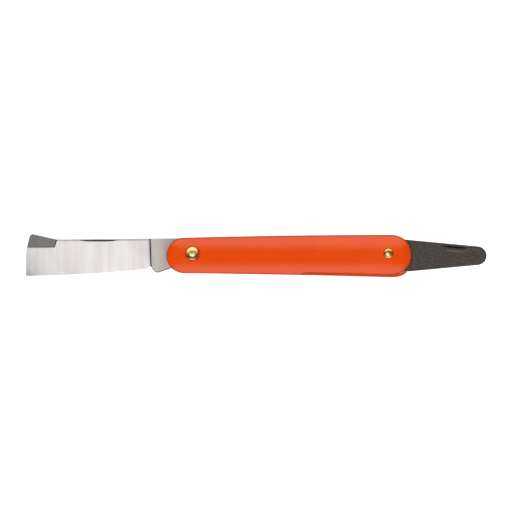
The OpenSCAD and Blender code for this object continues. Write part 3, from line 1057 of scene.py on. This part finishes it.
def build_blade():
    """The blade, its back flat and its front ground from the plunge to the tip."""
    base = BLADE_LOW[2]
    outline = blade_outline()

    def top(points):
        return blade_front(points, outline, base)

    def low(points):
        return base + round_drop(distance_to(points, outline), REAR_ROUND)

    made = plate("blade_ground", outline, top, low, [pivot_bore(BLADE_AT, BLADE_RIVET)],
                 BLADE_RINGS, grid=1.3, sharp=22, lines=blade_lines(),
                 loose=[nick_fill(BLADE_NICK, (-9, -1.4), (9, 0.3), outline, 0.12)])
    paint(made, (BLADE_STEEL, FACET_STEEL, SHADE_PAINTED_STEEL, TANG_STEEL), blade_kinds(made, outline))
    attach(made, "blade")
    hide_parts("blade")
    METAL_PIECES.append(made)


build_blade()


# ---- bark lifter

# Outline: tang, notch under the handle's nose, round tip
LIFTER_FLAT = 4.4
LIFTER_TOP = 6.6
LIFTER_NOTCH = [LIFTER_AT + p for p in ((9.2, -8.12), (8.8, -7.92), (6.4, -7.9))]
LIFTER_TIP_R = 4.2
LIFTER_TIP_C = np.array([LIFTER_HIGH[0] - LIFTER_TIP_R, LIFTER_AT[1] - 1.0])

# Thickness: a taper to the tip, a bevelled rim outside the handle, a nail nick
LIFTER_TIP_T = 1.1
TAPER_START = LIFTER_AT[0] + 14
RIM_START = LIFTER_AT[0] + 5
RIM_RAMP = 2.0
RIM_BEVEL = 0.55
RIM_SLOPE = 0.75
LIFTER_RINGS = [0.28, RIM_BEVEL, 0.8, 1.3]
NICK_RIM = 0.3
LIFTER_NICK_LOW = 0.2
LIFTER_NICK = {"at": LIFTER_AT + (30.0, 3.1), "length": 11.4, "depth": 1.15, "turn": -5.2,
               "face_slope": 0.0}


def lifter_outline():
    """Outline of the bark lifter, anticlockwise from its shoulder."""
    shut = 90 + swing("lifter_fold")
    flat_end = LIFTER_AT + polar(LIFTER_FLAT, shut) + polar(6.2, shut + 90)
    cam = [LIFTER_AT + p for p in cam_points(LIFTER_FLAT, swing("lifter_fold"), True)]
    corner = LIFTER_AT + (SHOULDER, LIFTER_FLAT)
    high = LIFTER_AT + (SHOULDER, LIFTER_TOP)
    tip = arc(LIFTER_TIP_C, LIFTER_TIP_R, 84, -84, 48)
    points = [corner, high] + straight(high, tip[0], 50) + tip
    points += straight(tip[-1], LIFTER_NOTCH[0], 48) + LIFTER_NOTCH
    points += straight(LIFTER_NOTCH[-1], flat_end, 4) + [flat_end]
    points += straight(flat_end, cam[0], 8) + cam + straight(cam[-1], corner, 6)
    return np.array(points)[::-1]


def lifter_kinds(made):
    """The finish of each face: 0 dark satin, 1 painted shade on the nail nick's wall, 2 its worn rim.
    """
    plan, upward = face_places(made)
    far = nick_lines(LIFTER_NICK)[2]
    rim = in_nick(plan, LIFTER_NICK) & (distance_to(plan, far, closed=False) < NICK_RIM)
    kinds = np.where(rim & upward, 2, 0)
    return np.where(on_nick_wall(plan, LIFTER_NICK) & upward, 1, kinds)


def build_lifter():
    """The bark lifter, thinned on both sides towards its tip and round its rim."""
    base, crown = LIFTER_LOW[2], LIFTER_HIGH[2]
    outline = lifter_outline()
    reach = LIFTER_HIGH[0] - TAPER_START
    taper = (crown - base - LIFTER_TIP_T) / 2 / reach

    def thinning(points):
        depth = distance_to(points, outline)
        past = np.clip(points[:, 0] - TAPER_START, 0, reach)
        bare = smooth_step((points[:, 0] - RIM_START) / RIM_RAMP)
        return past * taper + np.clip(RIM_BEVEL - depth, 0, RIM_BEVEL) * RIM_SLOPE * bare

    def top(points):
        height = crown - thinning(points)
        return np.minimum(height, nick_height(points, LIFTER_NICK, crown - LIFTER_NICK_LOW))

    def low(points):
        return base + thinning(points)

    made = plate("bark_lifter_tongue", outline, top, low, [pivot_bore(LIFTER_AT, LIFTER_RIVET)],
                 LIFTER_RINGS, grid=1.3, sharp=22, lines=nick_lines(LIFTER_NICK, NICK_RIM),
                 loose=[nick_fill(LIFTER_NICK, (-6, -2.4), (6, 1.0), outline, 0.7)])
    paint(made, (LIFTER_DARK, NICK_WALL_SHADE, NICK_BRIGHT), lifter_kinds(made))
    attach(made, "bark_lifter")
    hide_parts("bark_lifter")


build_lifter()


# ---- liners, springs and hidden pin

def dress(node, material, bevel):
    """Gives a CAD node its material and a fine edge break, without changing its mesh."""
    found = frame["nodes"][node]
    for place in found.material_slots:
        place.link = "OBJECT"
        place.material = material
    weld = found.modifiers.new("weld", "WELD")
    weld.merge_threshold = 1e-6
    broken = found.modifiers.new("edge_break", "BEVEL")
    broken.width = bevel * MM
    broken.segments = 2
    broken.limit_method = "ANGLE"
    broken.angle_limit = math.radians(35)
    broken.harden_normals = True


for node in ("rear_liner", "centre_liner", "front_liner"):
    dress(node, LINER_STEEL, 0.06)
for node in ("blade_spring", "lifter_spring"):
    dress(node, SPRING_STEEL, 0.1)
dress("spring_pin", BRASS, 0.1)


# ---- studio

SIDE_FADE = 0.25  # share of a softbox's width
TOP_FADE = (0.03, 0.44)  # shares of its height, from its inner edge
SOFTBOX_FAR = 1.0
SOFTBOX_SIZE = (1.6, 1.43)
SOFTBOX_TILT = 44.5
LENS = 500.0
VIEW_WIDTH = 0.2304
SEEN_CENTRE = (BLADE_AT[0] + 28.485, BLADE_AT[1] - 1.15, (REAR_LOW[2] + FRONT_HIGH[2]) / 2)


def studio_floor():
    """A pale floor that throws no colour back onto the knife."""
    bpy.ops.mesh.primitive_plane_add(size=8, location=(0, 0, CAD_BOX[0][2] - 2e-5))
    floor = bpy.context.object
    floor.name = "studio_floor"
    floor.data.materials.append(floor_material())
    floor.visible_diffuse = False
    floor.visible_glossy = False


def area_lamp(name, size, radiance, place):
    """An area light that faces down and that the camera doesn't see."""
    data = bpy.data.lights.new(name, "AREA")
    data.shape = "RECTANGLE"
    data.size, data.size_y = size
    data.energy = radiance * math.pi * size[0] * size[1]
    lamp = bpy.data.objects.new(name, data)
    lamp.location = place
    lamp.visible_camera = False
    bpy.context.scene.collection.objects.link(lamp)
    return lamp


def fade_edges(data, inner):
    """Fades a light at its two sides, and at its inner edge between two shares of its height."""
    data.use_nodes = True
    tree = data.node_tree
    add = node_adder(tree)
    place = add("ShaderNodeNewGeometry").outputs["Parametric"]
    split = add("ShaderNodeSeparateXYZ", {0: place})
    fades = []
    for axis, low, high in (("X", 0.0, SIDE_FADE), ("X", 1.0, 1 - SIDE_FADE), ("Y", *inner)):
        fade = add("ShaderNodeMapRange", {"Value": split.outputs[axis]},
                   interpolation_type="SMOOTHSTEP", From_Min=low, From_Max=high)
        fades.append(fade.outputs[0])
    sides = add("ShaderNodeMath", {0: fades[0], 1: fades[1]}, operation="MULTIPLY")
    every = add("ShaderNodeMath", {0: sides.outputs[0], 1: fades[2]}, operation="MULTIPLY")
    tree.links.new(every.outputs[0], tree.nodes["Emission"].inputs["Strength"])


def softbox(name, tilt, size, radiance, only=None):
    """A soft light tilted from overhead towards +Y, facing the knife.

    It lights every piece, or only those given.
    """
    turn = math.radians(tilt)
    place = (0, SOFTBOX_FAR * math.sin(turn), SOFTBOX_FAR * math.cos(turn))
    lamp = area_lamp(name, size, radiance, place)
    lamp.rotation_euler = (-turn, 0, 0)
    fade_edges(lamp.data, TOP_FADE if tilt > 0 else [1 - end for end in TOP_FADE])
    if only:
        lit = bpy.data.collections.new(f"{name}_lit")
        for piece in only:
            lit.objects.link(piece)
        lamp.light_linking.receiver_collection = lit


def world_light(strength):
    """An even white surround."""
    world = bpy.data.worlds.new("studio")
    world.use_nodes = True
    back = world.node_tree.nodes["Background"]
    back.inputs["Color"].default_value = (1.0, 1.0, 1.0, 1.0)
    back.inputs["Strength"].default_value = strength
    bpy.context.scene.world = world


def camera(lens, view_width, centre):
    """A long-lens camera straight above the knife, with the handle's back upwards."""
    data = bpy.data.cameras.new("camera")
    data.lens = lens
    data.sensor_width = 36.0
    data.dof.use_dof = False
    seen = bpy.data.objects.new("camera", data)
    distance = view_width / data.sensor_width * lens
    seen.location = (centre[0] * MM, centre[1] * MM, centre[2] * MM + distance)
    bpy.context.scene.collection.objects.link(seen)
    bpy.context.scene.camera = seen


studio_floor()
softbox("back_softbox", SOFTBOX_TILT, SOFTBOX_SIZE, 1.8)
softbox("belly_softbox", -SOFTBOX_TILT, SOFTBOX_SIZE, 1.8)
softbox("metal_softbox", -16, (1.6, 0.7), 1.12, only=METAL_PIECES)
fill = area_lamp("overhead_fill", (2.0, 2.0), 1.1, (0, 0, 2.0))
fill.visible_glossy = False
world_light(0.04)
camera(LENS, VIEW_WIDTH, SEEN_CENTRE)
bpy.context.scene.view_settings.view_transform = "Standard"
